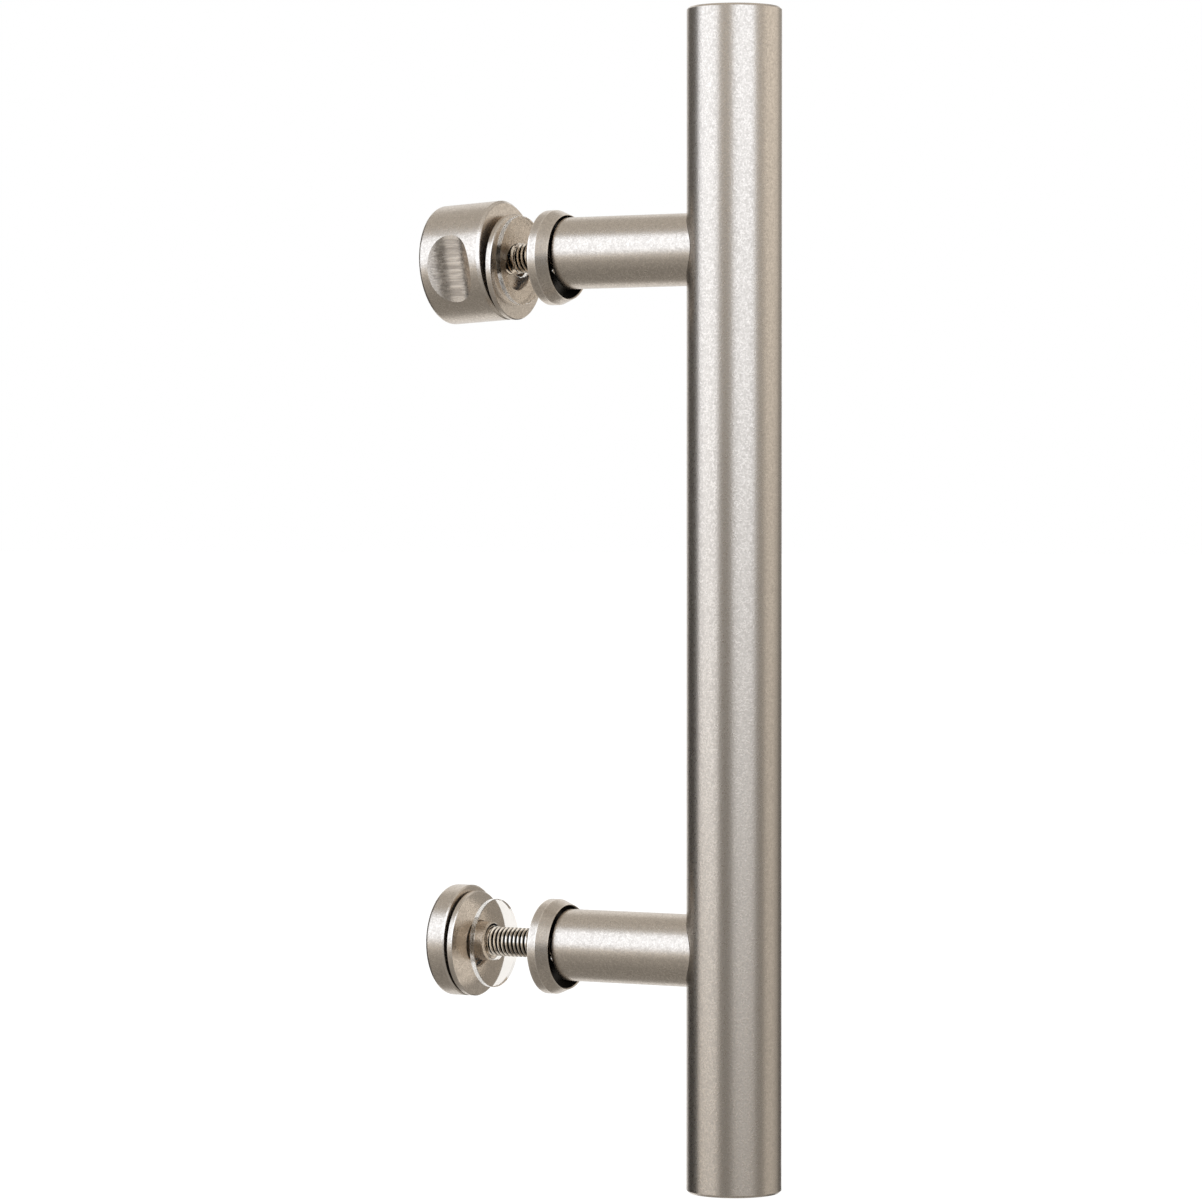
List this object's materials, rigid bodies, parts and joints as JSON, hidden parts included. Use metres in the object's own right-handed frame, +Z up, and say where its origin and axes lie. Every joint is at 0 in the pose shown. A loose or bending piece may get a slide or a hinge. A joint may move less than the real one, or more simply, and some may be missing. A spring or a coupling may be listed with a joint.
{
  "type": "barn door pull",
  "caption": "Round bar pull on coped posts for a sliding barn door, with loose collars, clear gaskets and washers, a scooped back knob and a flat back cap.",
  "frame": {"origin": "on the front face of the door, midway between the two stud holes", "axes": "+Z up along the bar, +Y through the door towards its back, the bar in front of the door at -Y, +X to the right"},
  "size_m": [0.0326, 0.1025, 0.316],
  "materials": {
    "satin_nickel": "satin nickel plate with a fine grain",
    "zinc_plate": "bright zinc plate on threaded steel",
    "dark_steel": "plain dark screw steel",
    "clear_plastic": "clear soft plastic"
  },
  "bodies": {
    "root": {"bar_tube": "satin_nickel", "upper_plug": "satin_nickel", "lower_plug": "satin_nickel", "upper_post": "satin_nickel", "lower_post": "satin_nickel", "upper_post_screw": "dark_steel", "lower_post_screw": "dark_steel", "upper_saddle_washer": "zinc_plate", "lower_saddle_washer": "zinc_plate", "upper_collar": "satin_nickel", "lower_collar": "satin_nickel", "upper_stud": "zinc_plate", "lower_stud": "zinc_plate", "upper_gasket": "clear_plastic", "lower_gasket": "clear_plastic", "upper_washer": "satin_nickel", "lower_washer": "satin_nickel", "back_knob": "satin_nickel", "back_cap": "satin_nickel"}
  },
  "joints": []
}
